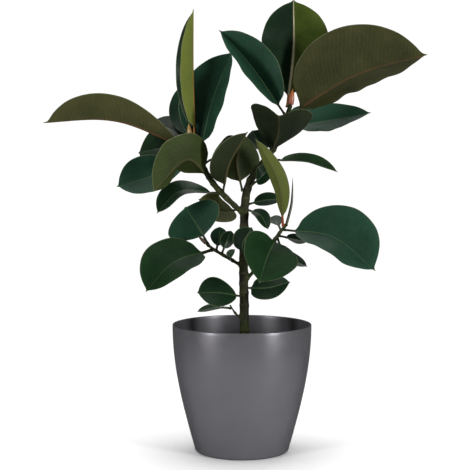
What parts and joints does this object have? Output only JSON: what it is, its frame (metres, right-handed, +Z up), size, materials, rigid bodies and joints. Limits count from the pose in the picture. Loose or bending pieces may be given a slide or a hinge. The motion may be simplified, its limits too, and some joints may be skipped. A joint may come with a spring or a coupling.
{
  "type": "potted rubber plant",
  "caption": "Potted rubber plant: a slim brown stem with side branches and broad glossy dark leaves, in a plain round tapered grey planter.",
  "frame": {"origin": "centre of the planter's flat foot, on the floor", "axes": "+Z up along the planter's axis; -Y is the front; the widest leaves spread along X"},
  "size_m": [0.669, 0.255, 0.812],
  "materials": {
    "planter_plastic": "matt anthracite plastic with a soft sheen",
    "nursery_plastic": "thin black plastic",
    "soil": "crumbly dark potting soil",
    "bark": "brown-green bark with ring scars",
    "leaf_dark": "thick glossy leaf, very dark green above and grey-olive below",
    "leaf_olive": "leaf seen mostly from its matt olive-brown underside",
    "leaf_young": "young leaf with a yellow-green underside",
    "bud_sheath": "smooth orange-red sheath"
  },
  "bodies": {
    "root": {"planter": "planter_plastic", "nursery_pot": "nursery_plastic", "potting_soil": "soil", "stem": "bark", "left_leaf_01": "leaf_olive", "left_leaf_02": "leaf_young", "left_leaf_03": "leaf_dark", "left_leaf_04": "leaf_dark", "left_leaf_05": "leaf_dark", "left_leaf_06": "leaf_dark", "left_leaf_07": "leaf_dark", "left_leaf_08": "leaf_olive", "left_leaf_09": "leaf_olive", "left_leaf_10": "leaf_dark", "left_leaf_11": "leaf_olive", "right_leaf_01": "leaf_olive", "right_leaf_02": "leaf_dark", "right_leaf_03": "leaf_dark", "right_leaf_04": "leaf_dark", "right_leaf_05": "leaf_olive", "right_leaf_06": "leaf_dark", "right_leaf_07": "leaf_young", "right_leaf_08": "leaf_dark", "right_leaf_09": "leaf_dark", "right_leaf_10": "leaf_dark", "right_leaf_11": "leaf_dark", "right_leaf_12": "leaf_olive", "right_leaf_13": "leaf_dark", "right_leaf_14": "leaf_dark", "right_leaf_15": "leaf_dark", "right_leaf_16": "leaf_dark", "right_leaf_17": "leaf_dark", "low_leaf_01": "leaf_dark", "low_leaf_02": "leaf_dark", "low_leaf_03": "leaf_olive", "low_leaf_04": "leaf_dark", "low_leaf_05": "leaf_dark", "low_leaf_06": "leaf_dark", "low_leaf_07": "leaf_dark", "low_leaf_08": "leaf_dark", "low_leaf_09": "leaf_dark", "bottom_leaf_01": "leaf_dark", "bottom_leaf_02": "leaf_olive", "right_growing_tip": "bud_sheath", "left_growing_tip": "bud_sheath", "low_growing_tip": "bud_sheath", "right_spear_bud": "bud_sheath"}
  },
  "joints": []
}
